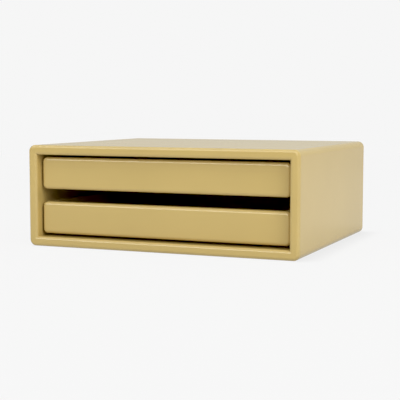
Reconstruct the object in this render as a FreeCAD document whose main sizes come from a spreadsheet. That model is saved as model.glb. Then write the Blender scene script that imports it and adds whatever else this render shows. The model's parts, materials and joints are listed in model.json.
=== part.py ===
import FreeCAD, Part
import math
import os
import re

import Sketcher
from FreeCAD import Placement, Rotation, Vector

# Desk module with two sliding letter trays, in millimetres.
# +X runs to the right, +Y into the depth and +Z up. The origin is on the table, under the middle of the case.
# The case is four mitred boards round a thin back. Each tray hangs on two runners, and its front stands back
# from the case's front edge. The slot between the two fronts is the finger grip.

document = FreeCAD.newDocument("letter_tray_module")
sheet = document.addObject("Spreadsheet::Sheet", "sizes")

SIZES = [
    # case
    ("case_width", 354.0, "outside width"),
    ("case_depth", 300.0, "outside depth"),
    ("case_height", 126.5, "outside height"),
    ("board", 12.0, "thickness of the case's boards"),
    ("case_corner", 8.0, "radius of the four long outer corners"),
    ("case_edge", 4.0, "rounding of the front and back outlines"),
    ("case_lip", 3.5, "rounding of the inner front and back edges"),
    # back panel
    ("back_board", 6.0, "thickness of the back panel"),
    ("back_inset", 8.0, "from the case's back edge to the back panel"),
    ("back_bite", 5.0, "depth of the groove that holds the back panel"),
    # mitre splines
    ("spline_board", 3.0, "thickness of a mitre spline"),
    ("spline_bite", 5.0, "depth of a spline's slot on each side of its mitre"),
    ("spline_offset", 4.5, "from the mitre's inner corner to the spline's middle"),
    ("spline_front", 16.0, "from the case's front edge to a spline"),
    ("spline_back", 20.0, "from a spline to the case's back edge"),
    # trays
    ("tray_recess", 10.0, "from the case's front edge to the tray fronts"),
    ("tray_gap", 1.75, "between a tray and the case's side"),
    ("tray_lift", 3.25, "under the lower tray, and over the upper one"),
    ("finger_slot", 16.0, "between the lower tray and the upper one"),
    ("tray_back_room", 12.0, "from a tray's back to the back panel"),
    ("front_board", 12.0, "thickness of a tray front"),
    ("front_corner", 6.0, "corner radius of a tray front, seen from the front"),
    ("front_edge", 4.0, "rounding of a tray front's outline"),
    ("front_easing", 1.0, "rounding of a tray front's back outline"),
    ("tray_board", 10.0, "thickness of a tray's sides and back"),
    ("tray_easing", 1.5, "rounding of the upper edges of a tray's sides and back"),
    ("bottom_board", 4.0, "thickness of a tray's bottom"),
    ("bottom_lift", 4.5, "from a tray's lower edge to its bottom"),
    ("bottom_bite", 4.0, "depth of the groove that holds a tray's bottom"),
    # runners
    ("runner_share", 0.3, "a runner's height, as a share of the room above a tray's bottom"),
    ("runner_level_share", 0.43, "the height of a runner's middle, as a share of that room"),
    ("runner_bite", 5.0, "depth of the runner's groove in a tray side"),
    ("runner_chamfer", 0.8, "chamfer on a runner's inner edges"),
    ("runner_gap", 0.3, "running clearance above and below a runner, and before its front end"),
    ("runner_side_gap", 0.5, "running clearance between a runner and its groove's floor"),
    ("runner_back_end", 6.0, "from a runner's back end to the tray's back"),
    # runner screws
    ("screw_shank", 3.0, "diameter of a runner screw"),
    ("screw_head", 5.6, "diameter of its countersunk head"),
    ("screw_rim", 0.3, "height of the straight rim of its head"),
    ("screw_point", 2.0, "length of its point"),
    ("screw_bite", 8.0, "depth of the screw in the case's side"),
    ("screw_sink", 0.3, "from the runner's face down to the head"),
    ("screw_recess", 1.2, "depth of the recess in its head"),
    ("screw_recess_width", 2.0, "width of the recess in its head"),
    ("screw_end", 24.0, "from a runner's end to its nearest screw"),
    ("screw_count", 3, "screws in a runner"),
    # dowels
    ("dowel", 5.0, "diameter of a dowel"),
    ("dowel_length", 22.0, "length of a dowel"),
    ("dowel_chamfer", 0.6, "chamfer on a dowel's ends"),
    ("dowel_front_bite", 7.5, "depth of a front dowel in the tray front"),
    ("dowel_side_bite", 6.5, "depth of a back dowel in a tray side's face"),
    # clearances and overrun
    ("glue_gap", 0.05, "clearance round a piece in its groove, slot or hole"),
    ("end_gap", 0.2, "clearance at the end of a piece in its groove, slot or hole"),
    ("overrun", 5.0, "how far a cut runs past the piece"),
]

for row, (alias, value, note) in enumerate(SIZES, start=1):
    sheet.set(f"A{row}", note)
    sheet.set(f"B{row}", str(value))
    sheet.setAlias(f"B{row}", alias)
document.recompute()
ALIASES = {alias for alias, value, note in SIZES}


def formula(text):
    """The expression text with every size's name led by the sheet's own name."""
    return re.sub(r"[a-z_]+", lambda word: f"sizes.{word[0]}" if word[0] in ALIASES else word[0], text)


def number(text):
    """The present value of an expression."""
    result = sheet.evalExpression(formula(text))
    return float(getattr(result, "Value", result))


# Sizes worked out from the sheet

INNER_WIDTH = "(case_width - 2 * board)"
TRAY_WIDTH = f"({INNER_WIDTH} - 2 * tray_gap)"
TRAY_INNER = f"({TRAY_WIDTH} - 2 * tray_board)"
TRAY_LENGTH = "(case_depth - tray_recess - back_inset - back_board - tray_back_room)"
SIDE_LENGTH = f"({TRAY_LENGTH} - front_board)"
TRAY_HEIGHT = "((case_height - 2 * board - 2 * tray_lift - finger_slot) / 2)"
TRAY_PITCH = f"({TRAY_HEIGHT} + finger_slot)"
TRAY_BASE = "(board + tray_lift)"
BACK_FACE = "(case_depth - back_inset - back_board)"
CASE_FRONT = "(-1 * case_depth / 2)"
TRAY_FRONT = f"({CASE_FRONT} + tray_recess)"
SPLINE_LENGTH = "(case_depth - spline_front - spline_back)"
SLOT_WIDTH = "(spline_board + 2 * glue_gap)"
RUNNER_WIDTH = "(tray_gap + runner_bite - runner_side_gap)"
RUNNER_FRONT = "(tray_recess + front_board + runner_gap)"
RUNNER_LENGTH = f"({SIDE_LENGTH} - runner_gap - runner_back_end)"
TRAY_ROOM = f"({TRAY_HEIGHT} - bottom_lift - bottom_board)"
RUNNER_HEIGHT = f"(runner_share * {TRAY_ROOM})"
RUNNER_CENTRE = f"(bottom_lift + bottom_board + runner_level_share * {TRAY_ROOM})"
RUNNER_LEVEL = f"({TRAY_BASE} + {RUNNER_CENTRE})"
RUNNER_SLOT_LOW = f"({RUNNER_CENTRE} - {RUNNER_HEIGHT} / 2 - runner_gap)"
RUNNER_SLOT_HIGH = f"({RUNNER_CENTRE} + {RUNNER_HEIGHT} / 2 + runner_gap)"
SCREW_SPAN = f"({RUNNER_LENGTH} - 2 * screw_end)"
GROOVE_LOW = "(bottom_lift - glue_gap)"
GROOVE_HIGH = "(bottom_lift + bottom_board + glue_gap)"
DOWEL_SPAN = f"({TRAY_WIDTH} - tray_board)"
DOWEL_LOW = f"(({GROOVE_HIGH} + {RUNNER_SLOT_LOW}) / 2)"
DOWEL_HIGH = f"(({RUNNER_SLOT_HIGH} + {TRAY_HEIGHT}) / 2)"
DIAGONAL = "sqrt(1 / 2)"
CORNER_DROP = f"(case_corner * (1 - {DIAGONAL}))"

LEVELS = {"lower": TRAY_BASE, "upper": f"({TRAY_BASE} + {TRAY_PITCH})"}
NEAR = number("glue_gap / 10")


# Document helpers

def bind(thing, name, text):
    thing.setExpression(name, formula(text))


def origin_part(body, role):
    return next(entry for entry in body.Origin.OriginFeatures if entry.Role == role)


def body_named(label):
    body = document.addObject("PartDesign::Body", label)
    body.Label = label
    body.AllowCompound = True
    return body


def sketch_on(body, name, role, offset="0"):
    """An empty sketch on one of the body's own planes, moved along that plane's normal."""
    sketch = body.newObject("Sketcher::SketchObject", f"{body.Name}_{name}")
    sketch.AttachmentSupport = [(origin_part(body, role), "")]
    sketch.MapMode = "FlatFace"
    bind(sketch, "AttachmentOffset.Base.z", offset)
    return sketch


def dimension(sketch, kind, ends, text, name):
    """A named driving dimension, bound to an expression."""
    index = sketch.addConstraint(Sketcher.Constraint(kind, *ends, number(text)))
    sketch.renameConstraint(index, name)
    bind(sketch, f"Constraints.{name}", text)


def outline(sketch, corners, tag="corner"):
    """A closed outline of straight lines. Each corner is held by two expressions."""
    spots = [Vector(number(across), number(up), 0) for across, up in corners]
    first = sketch.GeometryCount
    count = len(corners)
    for step in range(count):
        sketch.addGeometry(Part.LineSegment(spots[step], spots[(step + 1) % count]), False)
    for step, (across, up) in enumerate(corners):
        line = first + step
        before = first + (step - 1) % count
        sketch.addConstraint(Sketcher.Constraint("Coincident", before, 2, line, 1))
        dimension(sketch, "DistanceX", (-1, 1, line, 1), across, f"{tag}_{step}_across")
        dimension(sketch, "DistanceY", (-1, 1, line, 1), up, f"{tag}_{step}_up")


def circle(sketch, across, up, radius, tag="circle"):
    centre = Vector(number(across), number(up), 0)
    index = sketch.addGeometry(Part.Circle(centre, Vector(0, 0, 1), number(radius)), False)
    dimension(sketch, "DistanceX", (-1, 1, index, 3), across, f"{tag}_across")
    dimension(sketch, "DistanceY", (-1, 1, index, 3), up, f"{tag}_up")
    dimension(sketch, "Radius", (index,), radius, f"{tag}_radius")


def feature(body, kind, name, bound=None, **settings):
    """A feature at the body's tip. bound holds expressions, and settings are set as they are."""
    thing = body.newObject(f"PartDesign::{kind}", f"{body.Name}_{name}")
    for key, value in settings.items():
        setattr(thing, key, value)
    for key, value in (bound or {}).items():
        bind(thing, key, value)
    body.Tip = thing
    document.recompute()
    return thing


def pad(body, sketch, length, **settings):
    return feature(body, "Pad", "pad", {"Length": length}, Profile=sketch, **settings)


def pocket(body, sketch, name, length, **settings):
    """A pocket that has to take material away."""
    before = body.Shape.Volume
    thing = feature(body, "Pocket", name, {"Length": length}, Profile=sketch, **settings)
    if not thing.Shape.Volume < before:
        raise RuntimeError(f"{thing.Name} cuts nothing")
    return thing


def dress(body, kind, name, size, test):
    """A fillet or chamfer on the edges that pass the test."""
    base = body.Tip
    names = [f"Edge{index}" for index, edge in enumerate(base.Shape.Edges, start=1) if test(edge)]
    key = {"Fillet": "Radius", "Chamfer": "Size"}[kind]
    return feature(body, kind, name, {key: size}, Base=(base, names))


def flat_at(edge, axis, text):
    """Whether the whole edge lies at one value of X, Y or Z."""
    box = edge.BoundBox
    low = getattr(box, f"{axis}Min")
    high = getattr(box, f"{axis}Max")
    return abs(low - number(text)) < NEAR and abs(high - number(text)) < NEAR


def mirror_within(body, name, **settings):
    """The mirror image, in the body's own YZ plane, of a feature or of the whole shape."""
    return feature(body, "Mirrored", name, MirrorPlane=(origin_part(body, "YZ_Plane"), [""]), **settings)


def screw_places(body, name, up=None, **settings):
    """Repeats a screw or its hole along a runner, and for the upper runner where up is named."""
    settings["Direction"] = (origin_part(body, "Y_Axis"), [""])
    bound = {"Length": SCREW_SPAN, "Occurrences": "screw_count"}
    if up:
        settings.update(Direction2=(origin_part(body, up), [""]), Occurrences2=2)
        bound["Length2"] = TRAY_PITCH
    return feature(body, "LinearPattern", name, bound, **settings)


nodes = []


def keep(thing):
    """Lists a finished piece as one of the object's nodes."""
    nodes.append(thing)
    return thing


def place(thing, x="0", y="0", z="0", axis=Vector(0, 0, 1), turn=0):
    """Turns a piece about an axis through its own origin, then moves it by three expressions."""
    thing.Placement = Placement(Vector(0, 0, 0), Rotation(axis, turn))
    bind(thing, "Placement.Base.x", x)
    bind(thing, "Placement.Base.y", y)
    bind(thing, "Placement.Base.z", z)


def mirrored(source, label):
    """The same piece on the other side of the case's middle."""
    thing = document.addObject("Part::Mirroring", label)
    thing.Label = label
    thing.Source = source
    thing.Base = Vector(0, 0, 0)
    thing.Normal = Vector(1, 0, 0)
    return keep(thing)


def flat_board(label, length, width, height):
    thing = document.addObject("Part::Box", label)
    thing.Label = label
    bind(thing, "Length", length)
    bind(thing, "Width", width)
    bind(thing, "Height", height)
    return keep(thing)


# Case boards

def mitred_section(sketch, length):
    """The section of a mitred board: the outer face on the X axis, and half of each round corner."""
    half = number(length) / 2
    thick = number("board")
    radius = number("case_corner")
    drop = number(CORNER_DROP)
    eighth = math.pi / 4
    lines = []
    for start_x, start_z, end_x, end_z in (
        (radius - half, 0, half - radius, 0),
        (half - drop, -drop, half - thick, -thick),
        (half - thick, -thick, thick - half, -thick),
        (thick - half, -thick, drop - half, -drop),
    ):
        line = Part.LineSegment(Vector(start_x, start_z, 0), Vector(end_x, end_z, 0))
        lines.append(sketch.addGeometry(line, False))
    outer, right_mitre, inner, left_mitre = lines
    arcs = []
    for middle, start in ((half - radius, eighth), (radius - half, 2 * eighth)):
        whole = Part.Circle(Vector(middle, -radius, 0), Vector(0, 0, 1), radius)
        arcs.append(sketch.addGeometry(Part.ArcOfCircle(whole, start, start + eighth), False))
    right_arc, left_arc = arcs
    for entry in (
        ("Tangent", outer, 2, right_arc, 2),
        ("Tangent", left_arc, 1, outer, 1),
        ("Coincident", right_arc, 1, right_mitre, 1),
        ("Coincident", right_mitre, 2, inner, 1),
        ("Coincident", inner, 2, left_mitre, 1),
        ("Coincident", left_mitre, 2, left_arc, 2),
        ("Horizontal", outer),
        ("Horizontal", inner),
        ("PointOnObject", outer, 1, -1),
        ("PointOnObject", right_arc, 3, right_mitre),
        ("PointOnObject", left_arc, 3, left_mitre),
        ("Equal", left_arc, right_arc),
    ):
        sketch.addConstraint(Sketcher.Constraint(*entry))
    dimension(sketch, "Radius", (right_arc,), "case_corner", "corner")
    dimension(sketch, "DistanceX", (-1, 1, inner, 1), f"{length} / 2 - board", "inner_half")
    dimension(sketch, "DistanceX", (inner, 2, inner, 1), f"{length} - 2 * board", "inner_length")
    dimension(sketch, "DistanceY", (inner, 1, -1, 1), "board", "thickness")
    # each mitre ends at the middle of its round corner
    dimension(sketch, "DistanceY", (right_mitre, 2, right_mitre, 1), f"board - {CORNER_DROP}", "right_rise")
    dimension(sketch, "DistanceY", (left_mitre, 1, left_mitre, 2), f"board - {CORNER_DROP}", "left_rise")


def spline_slots(sketch, length):
    """One slot in each mitre face, square to the mitre, which runs past that face."""
    across_slot = f"{DIAGONAL} * {SLOT_WIDTH} / 2"
    middle = f"{DIAGONAL} * spline_offset"
    outside = "-1 * overrun"
    for tag, side in (("right", 1), ("left", -1)):
        corners = []
        for deep, upper in ((outside, -1), (outside, 1), ("spline_bite", 1), ("spline_bite", -1)):
            reach = f"{middle} + {upper} * {across_slot}"
            depth = f"{DIAGONAL} * {deep}"
            corners.append((f"{side} * ({length} / 2 - board + {reach} - {depth})",
                            f"{reach} + {depth} - board"))
        outline(sketch, corners, tag)


def at_an_end(edge):
    """Whether the edge lies on the front or the back end of a case board."""
    return flat_at(edge, "Y", "0") or flat_at(edge, "Y", "case_depth")


def mitred_board(label, length):
    """A board with its outer face at z = 0, its front edge at y = 0 and its length along X."""
    body = body_named(label)
    section = sketch_on(body, "section", "XZ_Plane")
    mitred_section(section, length)
    pad(body, section, "case_depth", Reversed=True)

    lowest = -number(CORNER_DROP) - NEAR

    def outer(edge):
        return at_an_end(edge) and edge.BoundBox.ZMin > lowest

    def inner(edge):
        return at_an_end(edge) and flat_at(edge, "Z", "-1 * board")

    dress(body, "Fillet", "outline", "case_edge", outer)
    dress(body, "Fillet", "lip", "case_lip", inner)
    groove = sketch_on(body, "back_groove", "YZ_Plane")
    near = f"{BACK_FACE} - glue_gap"
    far = "case_depth - back_inset + glue_gap"
    outline(groove, [(near, "-1 * board - overrun"), (far, "-1 * board - overrun"),
                     (far, "back_bite - board"), (near, "back_bite - board")])
    pocket(body, groove, "back_groove_cut", f"{length} + overrun", SideType="Symmetric")
    slots = sketch_on(body, "spline_slots", "XZ_Plane", "-1 * spline_front")
    spline_slots(slots, length)
    pocket(body, slots, "spline_slots_cut", SPLINE_LENGTH)
    return keep(body)


def build_case():
    top = mitred_board("top_panel", "case_width")
    place(top, y=CASE_FRONT, z="case_height")
    bottom = mitred_board("bottom_panel", "case_width")
    place(bottom, y=CASE_FRONT, axis=Vector(0, 1, 0), turn=180)
    left = mitred_board("left_side_panel", "case_height")
    # pilot holes for the runner screws, from the inner face: X is the height here
    holes = sketch_on(left, "pilot_hole", "XY_Plane", "-1 * board")
    circle(holes, f"{RUNNER_LEVEL} - case_height / 2", f"{RUNNER_FRONT} + screw_end",
           "screw_shank / 2 + glue_gap")
    first = pocket(left, holes, "pilot_hole_cut", "screw_bite + end_gap", Reversed=True)
    screw_places(left, "pilot_holes", up="X_Axis", Originals=[first])
    place(left, x="-1 * case_width / 2", y=CASE_FRONT, z="case_height / 2", axis=Vector(0, 1, 0), turn=-90)
    mirrored(left, "right_side_panel")
    back = flat_board("back_panel", f"{INNER_WIDTH} + 2 * (back_bite - end_gap)", "back_board",
                      "case_height - 2 * (board - back_bite + end_gap)")
    place(back, x="board - back_bite + end_gap - case_width / 2", y=f"{CASE_FRONT} + {BACK_FACE}",
          z="board - back_bite + end_gap")


def build_splines():
    """A strip across each mitre, turned by 45 degrees about its own middle."""
    half_width = "(spline_bite - end_gap)"
    shift = f"{DIAGONAL} * spline_offset"
    for row, up in (("bottom", -1), ("top", 1)):
        for column, right in (("left", -1), ("right", 1)):
            body = body_named(f"{row}_{column}_spline")
            section = sketch_on(body, "section", "XZ_Plane")
            outline(section, [
                (f"-1 * {half_width}", "-1 * spline_board / 2"),
                (half_width, "-1 * spline_board / 2"),
                (half_width, "spline_board / 2"),
                (f"-1 * {half_width}", "spline_board / 2"),
            ])
            pad(body, section, f"{SPLINE_LENGTH} - 2 * end_gap", Reversed=True)
            place(body, x=f"{right} * (case_width / 2 - board + {shift})",
                  y=f"{CASE_FRONT} + spline_front + end_gap",
                  z=f"case_height / 2 + {up} * (case_height / 2 - board + {shift})",
                  axis=Vector(0, 1, 0), turn=45 * right * up)
            keep(body)


# Runners and their screws

def screw_outline(head_radius, shank_radius, top, head, bottom, tip):
    """Half the outline of a countersunk screw whose axis is X, from its top to its tip."""
    return [
        (top, "0"),
        (top, head_radius),
        (f"{head} - screw_rim", head_radius),
        (f"{head} - screw_rim - ({head_radius} - {shank_radius})", shank_radius),
        (bottom, shank_radius),
        (tip, "0"),
    ]


def build_runners():
    """Chamfered strips. A strip's own origin is on the case's side, on the axis of its first screw."""
    edge = f"({RUNNER_HEIGHT} / 2)"
    for name, base in LEVELS.items():
        body = body_named(f"{name}_left_runner")
        section = sketch_on(body, "section", "XZ_Plane", "screw_end")
        outline(section, [
            ("0", f"-1 * {edge}"),
            (f"{RUNNER_WIDTH} - runner_chamfer", f"-1 * {edge}"),
            (RUNNER_WIDTH, f"runner_chamfer - {edge}"),
            (RUNNER_WIDTH, f"{edge} - runner_chamfer"),
            (f"{RUNNER_WIDTH} - runner_chamfer", edge),
            ("0", edge),
        ])
        pad(body, section, RUNNER_LENGTH, Reversed=True)
        seat = sketch_on(body, "screw_seat", "XY_Plane")
        outline(seat, screw_outline("(screw_head / 2 + glue_gap)", "(screw_shank / 2 + glue_gap)",
                                    f"{RUNNER_WIDTH} + overrun", f"{RUNNER_WIDTH} - screw_sink",
                                    "-1 * overrun", "-1 * overrun"))
        hole = feature(body, "Groove", "screw_hole", Profile=seat,
                       ReferenceAxis=(origin_part(body, "X_Axis"), [""]))
        screw_places(body, "screw_holes", Originals=[hole])
        place(body, x=f"-1 * {INNER_WIDTH} / 2", y=f"{CASE_FRONT} + {RUNNER_FRONT} + screw_end",
              z=f"{base} + {RUNNER_CENTRE}")
        keep(body)
        mirrored(body, f"{name}_right_runner")


def build_runner_screws():
    """Countersunk screws with a square recess, in every hole of the four runners."""
    body = body_named("runner_screws")
    wall = f"(-1 * {INNER_WIDTH} / 2)"
    head = f"({wall} + {RUNNER_WIDTH} - screw_sink)"
    tip = f"({wall} - screw_bite)"
    profile = sketch_on(body, "profile", "XY_Plane")
    outline(profile, screw_outline("(screw_head / 2)", "(screw_shank / 2)", head, head,
                                   f"{tip} + screw_point", tip))
    feature(body, "Revolution", "screw", Profile=profile, ReferenceAxis=(origin_part(body, "X_Axis"), [""]))
    recess = sketch_on(body, "recess", "YZ_Plane", head)
    reach = "screw_recess_width / 2"
    outline(recess, [(f"-1 * {reach}", f"-1 * {reach}"), (reach, f"-1 * {reach}"), (reach, reach),
                     (f"-1 * {reach}", reach)])
    pocket(body, recess, "recess_cut", "screw_recess")
    screw_places(body, "screws", up="Z_Axis", TransformMode="Whole shape")
    mirror_within(body, "both_sides", TransformMode="Whole shape")
    place(body, y=f"{CASE_FRONT} + {RUNNER_FRONT} + screw_end", z=RUNNER_LEVEL)
    keep(body)


# Trays

def rounded_rectangle(sketch, half_width, height, radius):
    """A rectangle with round corners that stands on the X axis, centred on the other axis."""
    half = number(half_width)
    tall = number(height)
    bend = number(radius)
    quarter = math.pi / 2
    lines = []
    for start_x, start_z, end_x, end_z in (
        (bend - half, 0, half - bend, 0),
        (half, bend, half, tall - bend),
        (half - bend, tall, bend - half, tall),
        (-half, tall - bend, -half, bend),
    ):
        line = Part.LineSegment(Vector(start_x, start_z, 0), Vector(end_x, end_z, 0))
        lines.append(sketch.addGeometry(line, False))
    arcs = []
    for step, (across, up) in enumerate((
        (half - bend, bend),
        (half - bend, tall - bend),
        (bend - half, tall - bend),
        (bend - half, bend),
    )):
        whole = Part.Circle(Vector(across, up, 0), Vector(0, 0, 1), bend)
        arcs.append(sketch.addGeometry(Part.ArcOfCircle(whole, (step - 1) * quarter, step * quarter), False))
    for step, arc in enumerate(arcs):
        following = lines[(step + 1) % len(lines)]
        sketch.addConstraint(Sketcher.Constraint("Tangent", lines[step], 2, arc, 1))
        sketch.addConstraint(Sketcher.Constraint("Tangent", arc, 2, following, 1))
    for arc in arcs[1:]:
        sketch.addConstraint(Sketcher.Constraint("Equal", arcs[0], arc))
    for kind, line in zip(("Horizontal", "Vertical") * 2, lines):
        sketch.addConstraint(Sketcher.Constraint(kind, line))
    sketch.addConstraint(Sketcher.Constraint("PointOnObject", lines[0], 1, -1))
    dimension(sketch, "Radius", (arcs[0],), radius, "corner")
    dimension(sketch, "DistanceX", (-1, 1, lines[1], 1), half_width, "right_half")
    dimension(sketch, "DistanceX", (lines[3], 1, -1, 1), half_width, "left_half")
    dimension(sketch, "DistanceY", (-1, 1, lines[2], 1), height, "height")


def upper_edge_test(axis):
    """A test for the two long upper edges of a tray board whose thickness runs along the axis."""
    return lambda edge: flat_at(edge, "Z", TRAY_HEIGHT) and (flat_at(edge, axis, "0")
                                                            or flat_at(edge, axis, "tray_board"))


def dowel_pair(sketch, across, radius):
    """Two round outlines: between a tray side's two grooves, and between its runner's groove and its top."""
    circle(sketch, across, DOWEL_LOW, radius, "low")
    circle(sketch, across, DOWEL_HIGH, radius, "high")


def dowel_holes(body, name, role, offset, across, bite, **settings):
    sketch = sketch_on(body, name, role, offset)
    dowel_pair(sketch, across, "dowel / 2 + glue_gap")
    return pocket(body, sketch, f"{name}_cut", f"{bite} + end_gap", **settings)


def build_tray_front(tray, base):
    """Its outer face is at y = 0, its middle at x = 0 and its lower edge at z = 0."""
    body = body_named(f"{tray}_tray_front")
    face = sketch_on(body, "face", "XZ_Plane")
    rounded_rectangle(face, f"{TRAY_WIDTH} / 2", TRAY_HEIGHT, "front_corner")
    pad(body, face, "front_board", Reversed=True)
    dress(body, "Fillet", "outline", "front_edge", lambda edge: flat_at(edge, "Y", "0"))
    dress(body, "Fillet", "easing", "front_easing", lambda edge: flat_at(edge, "Y", "front_board"))
    groove = sketch_on(body, "bottom_groove", "XZ_Plane", "-1 * front_board")
    reach = f"({TRAY_INNER} / 2 + bottom_bite)"
    outline(groove, [(f"-1 * {reach}", GROOVE_LOW), (reach, GROOVE_LOW), (reach, GROOVE_HIGH),
                     (f"-1 * {reach}", GROOVE_HIGH)])
    pocket(body, groove, "bottom_groove_cut", "bottom_bite", Reversed=True)
    holes = dowel_holes(body, "dowel_holes", "XZ_Plane", "-1 * front_board", f"{DOWEL_SPAN} / 2",
                        "dowel_front_bite", Reversed=True)
    mirror_within(body, "dowel_hole_pairs", Originals=[holes])
    place(body, y=TRAY_FRONT, z=base)
    keep(body)


def build_tray_sides(tray, base):
    """The left side has its outer face at x = 0, its front end at y = 0 and its lower edge at z = 0."""
    body = body_named(f"{tray}_tray_left_side")
    section = sketch_on(body, "section", "XZ_Plane")
    outline(section, [
        ("0", "0"),
        ("tray_board", "0"),
        ("tray_board", GROOVE_LOW),
        ("tray_board - bottom_bite", GROOVE_LOW),
        ("tray_board - bottom_bite", GROOVE_HIGH),
        ("tray_board", GROOVE_HIGH),
        ("tray_board", TRAY_HEIGHT),
        ("0", TRAY_HEIGHT),
        ("0", RUNNER_SLOT_HIGH),
        ("runner_bite", RUNNER_SLOT_HIGH),
        ("runner_bite", RUNNER_SLOT_LOW),
        ("0", RUNNER_SLOT_LOW),
    ])
    pad(body, section, SIDE_LENGTH, Reversed=True)
    dress(body, "Fillet", "easing", "tray_easing", upper_edge_test("X"))
    dowel_holes(body, "front_dowel_holes", "XZ_Plane", "0", "tray_board / 2",
                "dowel_length - dowel_front_bite")
    dowel_holes(body, "back_dowel_holes", "YZ_Plane", "tray_board", f"{SIDE_LENGTH} - tray_board / 2",
                "dowel_side_bite")
    place(body, x=f"-1 * {TRAY_WIDTH} / 2", y=f"{TRAY_FRONT} + front_board", z=base)
    keep(body)
    mirrored(body, f"{tray}_tray_right_side")


def build_tray_back(tray, base):
    """Between the sides: its middle is at x = 0, its front face at y = 0 and its lower edge at z = 0."""
    body = body_named(f"{tray}_tray_back")
    section = sketch_on(body, "section", "YZ_Plane")
    outline(section, [("0", "0"), ("tray_board", "0"), ("tray_board", TRAY_HEIGHT), ("0", TRAY_HEIGHT),
                      ("0", GROOVE_HIGH), ("bottom_bite", GROOVE_HIGH), ("bottom_bite", GROOVE_LOW),
                      ("0", GROOVE_LOW)])
    pad(body, section, f"{TRAY_INNER} - 2 * glue_gap", SideType="Symmetric")
    dress(body, "Fillet", "easing", "tray_easing", upper_edge_test("Y"))
    holes = dowel_holes(body, "dowel_holes", "YZ_Plane", f"{TRAY_INNER} / 2 - glue_gap", "tray_board / 2",
                        "dowel_length - dowel_side_bite - glue_gap")
    mirror_within(body, "dowel_hole_pairs", Originals=[holes])
    place(body, y=f"{TRAY_FRONT} + {TRAY_LENGTH} - tray_board", z=base)
    keep(body)


def build_dowels(label, role, offset, across, **spot):
    """Two chamfered dowels one above the other, and their mirror images."""
    body = body_named(label)
    ends = sketch_on(body, "ends", role, offset)
    dowel_pair(ends, across, "dowel / 2")
    pad(body, ends, "dowel_length")
    dress(body, "Chamfer", "chamfer", "dowel_chamfer", lambda edge: len(edge.Vertexes) == 1)
    mirror_within(body, "both_sides", TransformMode="Whole shape")
    place(body, **spot)
    keep(body)


def build_tray(tray, base):
    """Five boards and two sets of dowels. base is the height of the tray's lower edge."""
    build_tray_front(tray, base)
    build_tray_sides(tray, base)
    build_tray_back(tray, base)
    bottom = flat_board(f"{tray}_tray_bottom", f"{TRAY_INNER} + 2 * (bottom_bite - end_gap)",
                        f"{SIDE_LENGTH} - tray_board + 2 * (bottom_bite - end_gap)", "bottom_board")
    place(bottom, x=f"-1 * ({TRAY_INNER} / 2 + bottom_bite - end_gap)",
          y=f"{TRAY_FRONT} + front_board - bottom_bite + end_gap", z=f"{base} + bottom_lift")
    build_dowels(f"{tray}_tray_front_dowels", "XZ_Plane", "-1 * dowel_length", f"{DOWEL_SPAN} / 2",
                 y=f"{TRAY_FRONT} + front_board - dowel_front_bite", z=base)
    build_dowels(f"{tray}_tray_back_dowels", "YZ_Plane",
                 f"{TRAY_INNER} / 2 + dowel_side_bite - dowel_length", "tray_board / 2",
                 y=f"{TRAY_FRONT} + {TRAY_LENGTH} - tray_board", z=base)


build_case()
build_splines()
build_runners()
build_runner_screws()
for tray, base in LEVELS.items():
    build_tray(tray, base)
document.recompute()

for thing in document.Objects:
    if "Invalid" in thing.State or "Error" in thing.State:
        raise RuntimeError(f"{thing.Name} failed: {thing.State}")
    if thing.TypeId == "Sketcher::SketchObject" and not thing.FullyConstrained:
        raise RuntimeError(f"{thing.Name} isn't fully constrained")
for node in nodes:
    if node.Shape.isNull() or not node.Shape.isValid():
        raise RuntimeError(f"{node.Label} has no valid shape")

os.makedirs("parts", exist_ok=True)
for node in nodes:
    node.Shape.exportStep(f"parts/{node.Label}.step")
print(f"{len(nodes)} parts written")
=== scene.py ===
"""
A desk module with two pull-out letter trays, dressed for a studio picture.

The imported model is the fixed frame. Lengths are in metres, X to the right, Y into the depth and Z up.
"""

import json
import math

import bmesh
import bpy
import numpy as np
from mathutils import Matrix, Vector

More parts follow.
